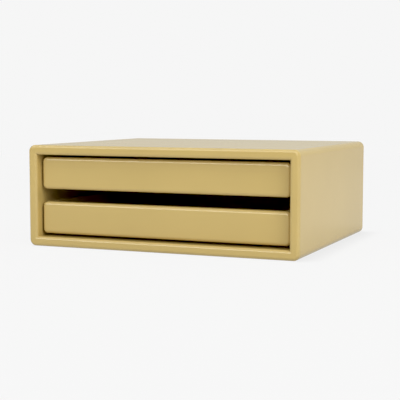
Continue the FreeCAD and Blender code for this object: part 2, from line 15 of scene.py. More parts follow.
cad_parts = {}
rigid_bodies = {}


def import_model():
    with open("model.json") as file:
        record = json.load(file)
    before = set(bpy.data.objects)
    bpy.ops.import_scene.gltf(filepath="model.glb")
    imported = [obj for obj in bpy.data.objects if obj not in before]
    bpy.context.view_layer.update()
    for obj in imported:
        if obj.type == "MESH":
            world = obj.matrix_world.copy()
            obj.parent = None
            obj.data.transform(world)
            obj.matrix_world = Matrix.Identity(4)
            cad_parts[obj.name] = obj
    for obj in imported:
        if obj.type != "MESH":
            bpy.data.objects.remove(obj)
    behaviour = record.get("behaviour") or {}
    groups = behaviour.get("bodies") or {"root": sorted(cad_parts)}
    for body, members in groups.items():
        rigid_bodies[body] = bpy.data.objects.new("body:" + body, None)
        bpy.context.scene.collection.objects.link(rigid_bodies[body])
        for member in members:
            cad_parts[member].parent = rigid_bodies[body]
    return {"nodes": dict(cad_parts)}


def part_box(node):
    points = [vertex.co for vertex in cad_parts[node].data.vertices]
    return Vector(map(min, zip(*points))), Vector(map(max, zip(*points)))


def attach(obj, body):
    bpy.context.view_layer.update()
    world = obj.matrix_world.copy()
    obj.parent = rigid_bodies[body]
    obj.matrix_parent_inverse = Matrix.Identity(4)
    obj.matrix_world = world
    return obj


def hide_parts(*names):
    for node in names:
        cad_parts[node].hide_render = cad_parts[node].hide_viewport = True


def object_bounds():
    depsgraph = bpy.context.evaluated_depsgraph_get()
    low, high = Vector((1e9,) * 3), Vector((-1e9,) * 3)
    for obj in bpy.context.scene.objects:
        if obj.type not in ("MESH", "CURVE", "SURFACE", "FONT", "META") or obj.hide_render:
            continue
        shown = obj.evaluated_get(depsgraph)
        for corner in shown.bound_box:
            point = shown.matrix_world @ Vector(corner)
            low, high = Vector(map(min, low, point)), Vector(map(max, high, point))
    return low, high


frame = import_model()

bl_info = {
    "name": "Letter Tray Module",
    "version": (1, 0, 0),
    "blender": (4, 5, 0),
    "location": "View3D > Sidebar > Letter Trays",
    "description": "Builds a lacquered desk module with two pull-out letter trays",
    "category": "Object",
}

MM = 0.001
TRAYS = ("lower", "upper")
SHARP_ANGLE = math.radians(32)
BOTTOM_STEPS = 3

# How many pattern cells a metre has
PEEL_CELLS = 420.0
WAVE_CELLS = 45.0
CLOUD_CELLS = 9.0
SMEAR_CELLS = 28.0
# Cells of the noise that breaks the painted highlight on rounded edges into patches
EDGE_HIGHLIGHT_CELLS = 120.0
GRAIN_CELLS = (520.0, 26.0, 520.0)
RAY_CELLS = (900.0, 330.0, 900.0)
ZINC_CELLS = 900.0

PEEL_DEPTH = 0.000003
WAVE_DEPTH = 0.000006
GRAIN_DEPTH = 0.00004
# How much of the lighter edge colour the rounded edges get: a painted highlight
EDGE_HIGHLIGHT_AMOUNT = 0.3
LACQUER_IOR = 1.5

# Softboxes: degrees to the right of the front, degrees up, width and height in metres
SOFTBOX_DISTANCE = 2.0
SOFTBOXES = {
    "side_box": (62.0, 33.0, 0.9, 2.0),
    "front_box": (-22.0, 21.5, 1.1, 0.75),
    "top_sheen_box": (-10.0, 41.0, 3.0, 0.85),
    "edge_sheen_box": (-10.0, 20.0, 3.0, 0.6),
}
SHEEN_PIECES = {
    "top_sheen_box": ("case_top_panel",),
    "edge_sheen_box": ("case_left_side_panel", "case_right_side_panel", "case_bottom_panel", "lower_front",
                       "upper_front"),
}
SHADOW_LAMP_WAY = Vector((-0.12, -0.08, 1.0))

# Where the room's light sets in and is full, by how far up or back the light's way points
ROOM_BEFORE_UP = (0.06, 0.4)
ROOM_BEHIND_BACK = (0.0, 0.6)
ROOM_ABOVE_UP = (0.3, 0.9)

FLOOR_RINGS = (0.0, 0.5, 1.0, 2.0, 4.0, 12.0)
FLOOR_SIDES = 96
FLOOR_DROP = 0.0002
FLOOR_FADE = (0.7, 2.5)
SENSOR_WIDTH = 36.0


def span(node, axis):
    """Lowest and highest value of a frame node along an axis, in metres."""
    low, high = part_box(node)
    return low[axis], high[axis]


FRAME_LOW, FRAME_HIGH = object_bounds()
BOARD = span("top_panel", 2)[1] - span("top_panel", 2)[0]


# Sizes, finishes and light that a user may change

def length(name, description, millimetres):
    """A length that a user may change, given in millimetres."""
    return bpy.props.FloatProperty(
        name=name, description=description, default=millimetres * MM, min=0.0, unit="LENGTH", precision=4)


def colour(name, description, value):
    """A colour that a user may change."""
    return bpy.props.FloatVectorProperty(
        name=name, description=description, default=value, size=3, min=0.0, max=1.0, subtype="COLOR")


def share(name, description, value, top=1.0):
    """A plain number from 0 to top that a user may change."""
    return bpy.props.FloatProperty(
        name=name, description=description, default=value, min=0.0, max=top, subtype="FACTOR")


class TrayModuleShape(bpy.types.PropertyGroup):
    board: length("Case board", "Thickness of the case's four boards", BOARD / MM)
    case_corner: length("Case corner", "Radius of the four long outer corners", 8.0)
    case_edge: length("Case outline", "Rounding of the front and back outlines", 4.0)
    case_lip: length("Case lip", "Rounding of the inner front and back edges", 3.5)
    back_bite: length("Back groove depth", "Depth of the groove that holds the back panel", 5.0)
    front_corner: length("Front corner", "Corner radius of a tray front, seen from the front", 6.0)
    front_edge: length("Front outline", "Rounding of a tray front's outline", 4.0)
    front_easing: length("Front back edge", "Rounding of a tray front's back outline", 1.0)
    tray_easing: length("Tray edge", "Rounding of the upper edges of a tray's sides and back", 1.5)
    bottom_bite: length("Bottom groove depth", "Depth of the groove that holds a tray's bottom", 4.0)
    bottom_easing: length("Bottom edge", "Rounding of the edges of a tray's bottom", 0.3)
    runner_bite: length("Runner groove depth", "Depth of the runner's groove in a tray side", 5.0)
    glue_gap: length("Glue gap", "Clearance round a piece in its groove", 0.05)
    runner_gap: length("Running gap", "Clearance above and below a runner", 0.3)
    arc_steps: bpy.props.IntProperty(
        name="Arc steps", description="Faces along a quarter round", default=10, min=2, max=40)
    board_steps: bpy.props.IntProperty(
        name="Board steps", description="Faces along a board's length", default=16, min=1, max=200)


class TrayModuleFinish(bpy.types.PropertyGroup):
    lacquer: colour("Lacquer", "Colour of the lacquered boards", (0.54, 0.396, 0.138))
    # A lighter colour on the rounded edges: a painted highlight that stands in for the gloss along the edges
    edge_highlight_colour: colour(
        "Lacquer on edges", "Colour where the lacquer is thin on a rounded edge", (0.59, 0.47, 0.25))
    lacquer_roughness: share("Lacquer roughness", "Roughness of the outer lacquer", 0.17)
    inside_roughness: share("Inside roughness", "Roughness of the lacquer inside", 0.26)
    beech: colour("Beech", "Colour of the bare beech strips", (0.53, 0.34, 0.18))
    beech_grain: colour("Beech grain", "Colour of the darker grain in the beech", (0.38, 0.21, 0.10))
    screw: colour("Screw", "Colour of the zinc-plated screws", (0.55, 0.54, 0.52))


class TrayModuleStudio(bpy.types.PropertyGroup):
    backdrop: share("Backdrop", "Brightness of the backdrop as the camera sees it", 0.9217, 2.0)
    floor_tone: share("Floor tone", "Reflectance of the floor", 0.03)
    floor_glow: share("Floor glow", "Light that the camera sees the floor give off by itself", 0.812, 2.0)
    floor_light: share("Floor light", "Light that the floor gives off towards the module", 0.72, 2.0)
    floor_shade: share("Floor shade", "Share of the floor's light that is left at the module's outline", 0.78)
    room_tint: colour("Room tint", "Colour of the room's light", (0.99, 1.0, 0.965))
    black_point: share("Black point", "Brightness that the picture shows as black", 0.006)
    before: share("Light before", "Brightness of the room before the module", 0.60, 5.0)
    behind: share("Light behind", "Brightness of the room behind the module", 0.66, 5.0)
    above: share("Light above", "Brightness that the ceiling adds", 0.28, 5.0)
    side_box: share("Side box", "Brightness of the tall softbox at the right", 4.12, 50.0)
    front_box: share("Front box", "Brightness of the wide softbox at the front left", 4.32, 50.0)
    top_sheen_box: share(
        "Top sheen box", "Brightness of the softbox that only the top's gloss shows", 3.2, 50.0)
    edge_sheen_box: share(
        "Edge sheen box", "Brightness of the softbox that only gloss elsewhere shows", 7.2, 50.0)
    shadow_light: bpy.props.FloatProperty(
        name="Shadow light", description="Strength of the light that only the floor gets", default=8.5,
        min=0.0)
    shadow_spread: bpy.props.FloatProperty(
        name="Shadow spread", description="Apparent size of the floor's light", default=math.radians(13),
        min=0.0, max=math.pi, subtype="ANGLE")
    camera_place: bpy.props.FloatVectorProperty(
        name="Camera place", description="Where the camera stands", default=(0.51969, -1.26134, 0.17568),
        size=3, subtype="TRANSLATION", unit="LENGTH")
    camera_turn: bpy.props.FloatProperty(
        name="Camera turn", description="How far the camera is turned to the left", subtype="ANGLE",
        default=math.radians(22.657))
    camera_dip: bpy.props.FloatProperty(
        name="Camera dip", description="How far the camera looks down", subtype="ANGLE",
        default=math.radians(5.213))
    camera_roll: bpy.props.FloatProperty(
        name="Camera roll", description="How far the camera leans", subtype="ANGLE",
        default=math.radians(0.051))
    camera_lens: bpy.props.FloatProperty(
        name="Lens", description="Focal length in millimetres", default=93.205, min=1.0)


# Curves and grids

def arc(centre, radius, start, end, steps):
    """
    Points of a circle's arc: centre + radius * (cos a, sin a), with a from start to end in degrees.

    The second array says how round each point lies: sin(2 (a - start)) squared, 1 in the middle of a quarter.
    """
    angles = np.radians(np.linspace(start, end, steps + 1))
    points = np.stack([np.cos(angles), np.sin(angles)], axis=1) * radius + np.asarray(centre)
    return points, np.sin(2 * (angles - angles[0])) ** 2


def joined(*stretches):
    """One closed profile from arcs and single corners, with 1 in the middle of each arc and 0 elsewhere."""
    points = []
    rounds = []
    for stretch in stretches:
        if isinstance(stretch, tuple) and isinstance(stretch[0], np.ndarray):
            points.append(stretch[0])
            rounds.append(stretch[1])
        else:
            points.append(np.asarray([stretch], float))
            rounds.append(np.zeros(1))
    return np.concatenate(points), np.concatenate(rounds)


def band_faces(columns, rows):
    """Quads of a grid that closes on itself along its rows."""
    index = np.arange(columns * rows).reshape(columns, rows)
    following = np.roll(index, -1, axis=1)
    return np.stack([index[:-1], index[1:], following[1:], following[:-1]], axis=-1).reshape(-1, 4).tolist()


def closed_faces(columns, rows):
    """The same quads, and one face over each open end."""
    return band_faces(columns, rows) + [list(range(rows)), list(range((columns - 1) * rows, columns * rows))]


def make_piece(name, body, nodes, points, faces, rounds, material):
    """Puts points and faces into a mesh that faces outwards, and lets it stand for its frame nodes."""
    mesh = bpy.data.meshes.new(name)
    mesh.from_pydata(np.asarray(points).reshape(-1, 3).tolist(), [], faces)
    mask = mesh.attributes.new("rounding", "FLOAT", "POINT")
    mask.data.foreach_set("value", np.asarray(rounds, np.float32).ravel())
    shell = bmesh.new()
    shell.from_mesh(mesh)
    bmesh.ops.recalc_face_normals(shell, faces=shell.faces)
    shell.to_mesh(mesh)
    shell.free()
    mesh.shade_smooth()
    mesh.set_sharp_from_angle(angle=SHARP_ANGLE)
    mesh.materials.append(material)
    piece = bpy.data.objects.new(name, mesh)
    bpy.context.scene.collection.objects.link(piece)
    even = piece.modifiers.new("even_shading", "WEIGHTED_NORMAL")
    even.keep_sharp = True
    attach(piece, body)
    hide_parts(*nodes)
    return piece


def swept(profile, rounds, start, end, steps, place):
    """A profile of two coordinates carried along a straight line; place turns (profile, way) into x, y, z."""
    way = np.linspace(start, end, steps + 1)
    first = np.broadcast_to(profile[None, :, 0], (steps + 1, len(profile)))
    second = np.broadcast_to(profile[None, :, 1], (steps + 1, len(profile)))
    along = np.broadcast_to(way[:, None], first.shape)
    grid = place(first, second, along)
    return grid, closed_faces(steps + 1, len(profile)), np.broadcast_to(rounds, first.shape)


def crosswise(depth, level, along):
    """Places a profile of depth and level that is carried along the width."""
    return np.stack([along, depth, level], axis=-1)


# Finishes

class Nodes:
    """Short calls for a node tree: add a node with its settings and inputs, and link what is a socket."""

    def __init__(self, tree):
        self.tree = tree

    def add(self, kind, inputs=None, **settings):
        node = self.tree.nodes.new(kind)
        for key, value in settings.items():
            setattr(node, key, value)
        for key, value in (inputs or {}).items():
            socket = node.inputs[key]
            if isinstance(value, bpy.types.NodeSocket):
                self.tree.links.new(value, socket)
            else:
                socket.default_value = value
        return node

    def link(self, source, target):
        self.tree.links.new(source, target)


def shader_group(name, inputs, outputs):
    """An empty shader node group with named inputs (name, kind, default) and outputs (name, kind)."""
    tree = bpy.data.node_groups.new(name, "ShaderNodeTree")
    for label, kind, default in inputs:
        socket = tree.interface.new_socket(label, in_out="INPUT", socket_type=kind)
        if default is not None:
            socket.default_value = default
    for label, kind in outputs:
        tree.interface.new_socket(label, in_out="OUTPUT", socket_type=kind)
    nodes = Nodes(tree)
    return nodes, nodes.add("NodeGroupInput"), nodes.add("NodeGroupOutput")


def lacquer_skin_group():
    """Sprayed lacquer: fine orange peel on long soft waves, and slow changes of tone and gloss."""
    nodes, given, out = shader_group(
        "lacquer_skin",
        [("Vector", "NodeSocketVector", None), ("Peel Depth", "NodeSocketFloat", PEEL_DEPTH),
         ("Wave Depth", "NodeSocketFloat", WAVE_DEPTH), ("Roughness", "NodeSocketFloat", 0.3)],
        [("Tone", "NodeSocketFloat"), ("Roughness", "NodeSocketFloat"), ("Normal", "NodeSocketVector")])
    place = given.outputs["Vector"]
    peel = nodes.add("ShaderNodeTexNoise", {
        "Vector": place, "Scale": PEEL_CELLS, "Detail": 2.0, "Roughness": 0.45})
    waves = nodes.add("ShaderNodeTexNoise", {
        "Vector": place, "Scale": WAVE_CELLS, "Detail": 1.0, "Roughness": 0.4})
    clouds = nodes.add("ShaderNodeTexNoise", {
        "Vector": place, "Scale": CLOUD_CELLS, "Detail": 3.0, "Roughness": 0.5})
    smears = nodes.add("ShaderNodeTexNoise", {
        "Vector": place, "Scale": SMEAR_CELLS, "Detail": 1.0, "Roughness": 0.5})
    wave_bump = nodes.add("ShaderNodeBump", {
        "Strength": 1.0, "Distance": given.outputs["Wave Depth"], "Height": waves.outputs["Fac"]})
    peel_bump = nodes.add("ShaderNodeBump", {
        "Strength": 1.0, "Distance": given.outputs["Peel Depth"], "Height": peel.outputs["Fac"],
        "Normal": wave_bump.outputs["Normal"]})
    tone = nodes.add("ShaderNodeMapRange", {
        "Value": clouds.outputs["Fac"], "From Min": 0.3, "From Max": 0.7, "To Min": 0.965, "To Max": 1.02})
    gloss = nodes.add("ShaderNodeMapRange", {
        "Value": smears.outputs["Fac"], "From Min": 0.3, "From Max": 0.7, "To Min": -0.004, "To Max": 0.006})
    rough = nodes.add("ShaderNodeMath", {0: given.outputs["Roughness"], 1: gloss.outputs["Result"]},
                      operation="ADD")
    nodes.link(tone.outputs["Result"], out.inputs["Tone"])
    nodes.link(rough.outputs["Value"], out.inputs["Roughness"])
    nodes.link(peel_bump.outputs["Normal"], out.inputs["Normal"])
    return nodes.tree


def painted_edge_highlight_group():
    """A painted highlight on rounded edges: the rounding mask broken up by noise, which sets how much lighter
    colour they get.
    """
    nodes, given, out = shader_group(
        "painted_edge_highlight",
        [("Vector", "NodeSocketVector", None), ("Rounding", "NodeSocketFloat", 0.0),
         ("Amount", "NodeSocketFloat", 0.5)],
        [("Mask", "NodeSocketFloat")])
    noise = nodes.add("ShaderNodeTexNoise", {
        "Vector": given.outputs["Vector"], "Scale": EDGE_HIGHLIGHT_CELLS, "Detail": 5.0, "Roughness": 0.65})
    patches = nodes.add("ShaderNodeMapRange", {
        "Value": noise.outputs["Fac"], "From Min": 0.35, "From Max": 0.65, "To Min": 0.25, "To Max": 1.0})
    broken = nodes.add("ShaderNodeMath", {0: given.outputs["Rounding"], 1: patches.outputs["Result"]},
                       operation="MULTIPLY")
    mask = nodes.add("ShaderNodeMath", {0: broken.outputs["Value"], 1: given.outputs["Amount"]},
                     operation="MULTIPLY", use_clamp=True)
    nodes.link(mask.outputs["Value"], out.inputs["Mask"])
    return nodes.tree


def beech_grain_group():
    """Beech: long fine grain along Y, short dark rays, and a shallow bump where the grain is."""
    nodes, given, out = shader_group(
        "beech_grain",
        [("Vector", "NodeSocketVector", None), ("Light", "NodeSocketColor", (0.5, 0.3, 0.2, 1.0)),
         ("Dark", "NodeSocketColor", (0.3, 0.2, 0.1, 1.0))],
        [("Color", "NodeSocketColor"), ("Roughness", "NodeSocketFloat"), ("Normal", "NodeSocketVector")])
    stretch = nodes.add("ShaderNodeMapping", {"Vector": given.outputs["Vector"], "Scale": GRAIN_CELLS})
    grain = nodes.add("ShaderNodeTexNoise", {
        "Vector": stretch.outputs["Vector"], "Scale": 1.0, "Detail": 6.0, "Roughness": 0.6,
        "Distortion": 0.4})
    ray_stretch = nodes.add("ShaderNodeMapping", {
        "Vector": given.outputs["Vector"], "Scale": RAY_CELLS})
    rays = nodes.add("ShaderNodeTexVoronoi", {"Vector": ray_stretch.outputs["Vector"], "Scale": 1.0})
    ray_mask = nodes.add("ShaderNodeMapRange", {
        "Value": rays.outputs["Distance"], "From Min": 0.05, "From Max": 0.3, "To Min": 0.5, "To Max": 0.0})
    grain_mask = nodes.add("ShaderNodeMapRange", {
        "Value": grain.outputs["Fac"], "From Min": 0.35, "From Max": 0.7, "To Min": 0.0, "To Max": 0.7})
    both = nodes.add("ShaderNodeMath", {0: ray_mask.outputs["Result"], 1: grain_mask.outputs["Result"]},
                     operation="MAXIMUM")
    tint = nodes.add("ShaderNodeMix", {0: both.outputs["Value"], 6: given.outputs["Light"],
                                       7: given.outputs["Dark"]}, data_type="RGBA")
    rough = nodes.add("ShaderNodeMapRange", {
        "Value": both.outputs["Value"], "From Min": 0.0, "From Max": 0.7, "To Min": 0.52, "To Max": 0.68})
    bump = nodes.add("ShaderNodeBump", {
        "Strength": 0.6, "Distance": GRAIN_DEPTH, "Height": grain.outputs["Fac"]})
    nodes.link(tint.outputs[2], out.inputs["Color"])
    nodes.link(rough.outputs["Result"], out.inputs["Roughness"])
    nodes.link(bump.outputs["Normal"], out.inputs["Normal"])
    return nodes.tree


def group(name):
    """A shared effect, built the first time it is asked for."""
    makers = {
        "lacquer_skin": lacquer_skin_group,
        "painted_edge_highlight": painted_edge_highlight_group,
        "beech_grain": beech_grain_group,
    }
    return bpy.data.node_groups.get(name) or makers[name]()


def empty_material(name):
    """A material without nodes."""
    material = bpy.data.materials.new(name)
    material.use_nodes = True
    material.node_tree.nodes.clear()
    return material, Nodes(material.node_tree)


def new_material(name):
    """A material with one shader, linked to its output."""
    material, nodes = empty_material(name)
    shader = nodes.add("ShaderNodeBsdfPrincipled")
    nodes.add("ShaderNodeOutputMaterial", {"Surface": shader.outputs["BSDF"]})
    return material, nodes, shader


def lacquer(name):
    """Satin lacquer on fibreboard, either the outer coat or the plainer one inside."""
    if name in bpy.data.materials:
        return bpy.data.materials[name]
    finish = bpy.context.scene.tray_module_finish
    inside = name == "lacquer_inside"
    material, nodes, shader = new_material(name)
    place = nodes.add("ShaderNodeTexCoord").outputs["Object"]
    skin = nodes.add("ShaderNodeGroup", node_tree=group("lacquer_skin"))
    nodes.link(place, skin.inputs["Vector"])
    skin.inputs["Roughness"].default_value = finish.inside_roughness if inside else finish.lacquer_roughness
    skin.inputs["Peel Depth"].default_value = PEEL_DEPTH
    skin.inputs["Wave Depth"].default_value = WAVE_DEPTH
    # Rounded edges get a lighter colour where the mask says so: a painted highlight
    mask = nodes.add("ShaderNodeAttribute", attribute_name="rounding")
    highlight_patches = nodes.add("ShaderNodeGroup", node_tree=group("painted_edge_highlight"))
    nodes.link(place, highlight_patches.inputs["Vector"])
    nodes.link(mask.outputs["Fac"], highlight_patches.inputs["Rounding"])
    highlight_patches.inputs["Amount"].default_value = EDGE_HIGHLIGHT_AMOUNT
    tint = nodes.add("ShaderNodeMix", {0: highlight_patches.outputs["Mask"], 6: (*finish.lacquer, 1.0),
                                       7: (*finish.edge_highlight_colour, 1.0)}, data_type="RGBA")
    toned = nodes.add("ShaderNodeVectorMath", {0: tint.outputs[2]}, operation="SCALE")
    nodes.link(skin.outputs["Tone"], toned.inputs["Scale"])
    nodes.link(toned.outputs["Vector"], shader.inputs["Base Color"])
    nodes.link(skin.outputs["Roughness"], shader.inputs["Roughness"])
    nodes.link(skin.outputs["Normal"], shader.inputs["Normal"])
    shader.inputs["IOR"].default_value = LACQUER_IOR
    return material


def beech():
    """Bare sanded beech."""
    finish = bpy.context.scene.tray_module_finish
    material, nodes, shader = new_material("beech")
    grain = nodes.add("ShaderNodeGroup", node_tree=group("beech_grain"))
    nodes.link(nodes.add("ShaderNodeTexCoord").outputs["Object"], grain.inputs["Vector"])
    grain.inputs["Light"].default_value = (*finish.beech, 1.0)
    grain.inputs["Dark"].default_value = (*finish.beech_grain, 1.0)
    for socket, target in (("Color", "Base Color"), ("Roughness", "Roughness"), ("Normal", "Normal")):
        nodes.link(grain.outputs[socket], shader.inputs[target])
    return material


def zinc_screw():
    """Zinc-plated steel with faint clouds in its gloss."""
    finish = bpy.context.scene.tray_module_finish
    material, nodes, shader = new_material("zinc_screw")
    place = nodes.add("ShaderNodeTexCoord").outputs["Object"]
    clouds = nodes.add("ShaderNodeTexNoise", {"Vector": place, "Scale": ZINC_CELLS, "Detail": 3.0})
    rough = nodes.add("ShaderNodeMapRange", {"Value": clouds.outputs["Fac"], "To Min": 0.25, "To Max": 0.5})
    tint = nodes.add("ShaderNodeMapRange", {"Value": clouds.outputs["Fac"], "To Min": 0.9, "To Max": 1.05})
    toned = nodes.add("ShaderNodeVectorMath", {0: tuple(finish.screw)}, operation="SCALE")
    nodes.link(tint.outputs["Result"], toned.inputs["Scale"])
    nodes.link(toned.outputs["Vector"], shader.inputs["Base Color"])
    nodes.link(rough.outputs["Result"], shader.inputs["Roughness"])
    shader.inputs["Metallic"].default_value = 1.0
    return material


# Pieces

def case_board_points(half, shape, profile):
    """
    A mitred board in its own coordinates: x along it, y into the depth, z up, its outer face at z = 0.

    A column follows one place along the board and a row one point of the profile (t under the outer face,
    y). Near the outer face a column is straight down, or radial to the round corner:
    x = middle + (r - t) sin a and z = (r - t) cos a - r, with a from 0 to 45 degrees. Near the inner face
    it is x = s (half - t), z = -t, which ends on the mitre. Between them the two are blended.
    """
    radius = shape.case_corner
    straight = np.linspace(radius - half, half - radius, shape.board_steps + 1)
    corner_steps = shape.arc_steps // 2 + 3
    turn = np.linspace(0.0, math.pi / 4, corner_steps + 1)[1:]
    angle = np.concatenate([-turn[::-1], np.zeros_like(straight), turn])[:, None]
    middle = np.concatenate([np.full_like(turn, radius - half), straight, np.full_like(turn, half - radius)])
    share_out = (middle + radius * np.concatenate([-turn[::-1], np.zeros_like(straight), turn])
                 / (math.pi / 4)) / half
    under = profile[None, :, 0]
    outer_x = middle[:, None] + (radius - under) * np.sin(angle)
    outer_z = (radius - under) * np.cos(angle) - radius
    inner_x = share_out[:, None] * (half - under)
    inner_z = -under + np.zeros_like(inner_x)
    start = shape.case_edge + (shape.board - shape.case_lip - shape.case_edge) / 3
    blend = np.clip((under - start) / (shape.board - shape.case_lip - start), 0.0, 1.0)
    x = outer_x + (inner_x - outer_x) * blend
    z = outer_z + (inner_z - outer_z) * blend
    y = np.broadcast_to(profile[None, :, 1], x.shape)
    return x, y, z


class TRAYMODULE_OT_case_boards(bpy.types.Operator):
    """Make the four mitred boards of the case"""

    bl_idname = "tray_module.case_boards"
    bl_label = "Case Boards"

    def execute(self, context):
        shape = context.scene.tray_module_shape
        board, edge, lip = shape.board, shape.case_edge, shape.case_lip
        depth = FRAME_HIGH.y - FRAME_LOW.y
        back_low, back_high = span("back_panel", 1)
        near = back_low - FRAME_LOW.y - shape.glue_gap
        far = back_high - FRAME_LOW.y + shape.glue_gap
        groove = board - shape.back_bite
        steps = shape.arc_steps
        profile, rounds = joined(
            arc((edge, edge), edge, 180, 270, steps),
            arc((board - lip, lip), lip, 270, 360, steps),
            (board, near), (groove, near), (groove, far), (board, far),
            arc((board - lip, depth - lip), lip, 0, 90, steps),
            arc((edge, depth - edge), edge, 90, 180, steps),
        )
        width = FRAME_HIGH.x - FRAME_LOW.x
        height = FRAME_HIGH.z - FRAME_LOW.z
        level = (FRAME_HIGH.z + FRAME_LOW.z) / 2
        for node, half, turn, offset in (
            ("top_panel", width / 2, 0, height / 2),
            ("right_side_panel", height / 2, 1, width / 2),
            ("bottom_panel", width / 2, 2, height / 2),
            ("left_side_panel", height / 2, 3, width / 2),
        ):
            x, y, z = case_board_points(half, shape, profile)
            z = z + offset
            quarter = turn * math.pi / 2
            turned_x = x * math.cos(quarter) + z * math.sin(quarter)
            turned_z = z * math.cos(quarter) - x * math.sin(quarter)
            grid = np.stack([turned_x, y + FRAME_LOW.y, turned_z + level], axis=-1)
            faces = closed_faces(*x.shape)
            make_piece(f"case_{node}", "case", [node], grid, faces, np.broadcast_to(rounds, x.shape),
                       lacquer("lacquer_outside"))
        return {"FINISHED"}


def rounded_ring(half, bottom, top, corner, inset, steps):
    """
    A rounded rectangle shrunk by inset: each corner's centre stays put and its radius is corner - inset.

    The points run from the lower right corner upwards and round, as centre + radius * (cos a, sin a).
    """
    radius = corner - inset
    centres = np.array([[half - corner, bottom + corner], [half - corner, top - corner],
                        [corner - half, top - corner], [corner - half, bottom + corner]])
    starts = np.radians([-90.0, 0.0, 90.0, 180.0])
    angles = starts[:, None] + np.linspace(0.0, math.pi / 2, steps + 1)[None, :]
    ring = centres[:, None, :] + radius * np.stack([np.cos(angles), np.sin(angles)], axis=-1)
    return ring.reshape(-1, 2)


class TRAYMODULE_OT_tray_fronts(bpy.types.Operator):
    """Make the rounded fronts of the trays"""

    bl_idname = "tray_module.tray_fronts"
    bl_label = "Tray Fronts"

    def execute(self, context):
        shape = context.scene.tray_module_shape
        steps = shape.arc_steps
        for tray in TRAYS:
            node = f"{tray}_tray_front"
            low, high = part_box(node)
            thick = high.y - low.y
            easing, edge = shape.front_easing, shape.front_edge
            layers, rounds = joined(
                arc((easing, thick - easing), easing, 90, 180, steps),
                arc((edge, edge), edge, 180, 270, steps),
            )
            rings = np.stack([
                rounded_ring(high.x, low.z, high.z, shape.front_corner, inset, steps)
                for inset in layers[:, 0]
            ])
            y = np.broadcast_to(layers[:, None, 1] + low.y, rings.shape[:2])
            grid = np.stack([rings[..., 0], y, rings[..., 1]], axis=-1)
            faces = closed_faces(*rings.shape[:2])
            make_piece(f"{tray}_front", f"{tray}_tray", [node], grid, faces,
                       np.broadcast_to(rounds[:, None], rings.shape[:2]), lacquer("lacquer_outside"))
        return {"FINISHED"}


class TRAYMODULE_OT_tray_sides(bpy.types.Operator):
    """Make the trays' grooved sides"""

    bl_idname = "tray_module.tray_sides"
    bl_label = "Tray Sides"

    def execute(self, context):
        shape = context.scene.tray_module_shape
        easing = shape.tray_easing
        for tray in TRAYS:
            bottom_low, bottom_high = span(f"{tray}_tray_bottom", 2)
            groove_low = bottom_low - shape.glue_gap
            groove_high = bottom_high + shape.glue_gap
            runner_low, runner_high = span(f"{tray}_left_runner", 2)
            slot_low = runner_low - shape.runner_gap
            slot_high = runner_high + shape.runner_gap
            for hand, sign in (("left", -1.0), ("right", 1.0)):
                node = f"{tray}_tray_{hand}_side"
                low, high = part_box(node)
                thick = high.x - low.x
                outer = high.x if sign > 0 else low.x
                profile, rounds = joined(
                    (0.0, low.z), (thick, low.z),
                    (thick, groove_low), (thick - shape.bottom_bite, groove_low),
                    (thick - shape.bottom_bite, groove_high), (thick, groove_high),
                    arc((thick - easing, high.z - easing), easing, 0, 90, shape.arc_steps),
                    arc((easing, high.z - easing), easing, 90, 180, shape.arc_steps),
                    (0.0, slot_high), (shape.runner_bite, slot_high),
                    (shape.runner_bite, slot_low), (0.0, slot_low),
                )

                def stand(inward, level, along):
                    return np.stack([outer - sign * inward, along, level], axis=-1)

                grid, faces, mask = swept(profile, rounds, low.y, high.y, shape.board_steps, stand)
                make_piece(f"{tray}_{hand}_side", f"{tray}_tray", [node], grid, faces, mask,
                           lacquer("lacquer_inside"))
        return {"FINISHED"}


class TRAYMODULE_OT_tray_backs(bpy.types.Operator):
    """Make the trays' backs"""

    bl_idname = "tray_module.tray_backs"
    bl_label = "Tray Backs"

    def execute(self, context):
        shape = context.scene.tray_module_shape
        easing = shape.tray_easing
        for tray in TRAYS:
            node = f"{tray}_tray_back"
            low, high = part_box(node)
            bottom_low, bottom_high = span(f"{tray}_tray_bottom", 2)
            groove_low = bottom_low - shape.glue_gap
            groove_high = bottom_high + shape.glue_gap
            profile, rounds = joined(
                (low.y, low.z), (high.y, low.z),
                arc((high.y - easing, high.z - easing), easing, 0, 90, shape.arc_steps),
                arc((low.y + easing, high.z - easing), easing, 90, 180, shape.arc_steps),
                (low.y, groove_high), (low.y + shape.bottom_bite, groove_high),
                (low.y + shape.bottom_bite, groove_low), (low.y, groove_low),
            )
            grid, faces, mask = swept(profile, rounds, low.x, high.x, shape.board_steps, crosswise)
            make_piece(f"{tray}_back", f"{tray}_tray", [node], grid, faces, mask, lacquer("lacquer_inside"))
        return {"FINISHED"}


class TRAYMODULE_OT_tray_bottoms(bpy.types.Operator):
    """Make the trays' thin bottoms"""

    bl_idname = "tray_module.tray_bottoms"
    bl_label = "Tray Bottoms"

    def execute(self, context):
        shape = context.scene.tray_module_shape
        easing = shape.bottom_easing
        for tray in TRAYS:
            node = f"{tray}_tray_bottom"
            low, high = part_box(node)
            profile, rounds = joined(*[
                arc((across, level), easing, start, start + 90, BOTTOM_STEPS)
                for across, level, start in (
                    (high.y - easing, high.z - easing, 0),
                    (low.y + easing, high.z - easing, 90),
                    (low.y + easing, low.z + easing, 180),
                    (high.y - easing, low.z + easing, 270),
                )
            ])
            grid, faces, mask = swept(profile, rounds, low.x, high.x, shape.board_steps, crosswise)
            make_piece(f"{tray}_bottom", f"{tray}_tray", [node], grid, faces, mask, lacquer("lacquer_inside"))
        return {"FINISHED"}


class TRAYMODULE_OT_carried_parts(bpy.types.Operator):
    """Finish the parts that keep their own shape: the back, runners, splines, dowels and screws"""

    bl_idname = "tray_module.carried_parts"
    bl_label = "Back, Runners and Fastenings"

    def execute(self, context):
        wood = beech()
        finishes = {"back_panel": lacquer("lacquer_inside"), "runner_screws": zinc_screw()}
        for name, part in frame["nodes"].items():
            if part.hide_render:
                continue
            part.data.materials.clear()
            part.data.materials.append(finishes.get(name, wood))
        return {"FINISHED"}


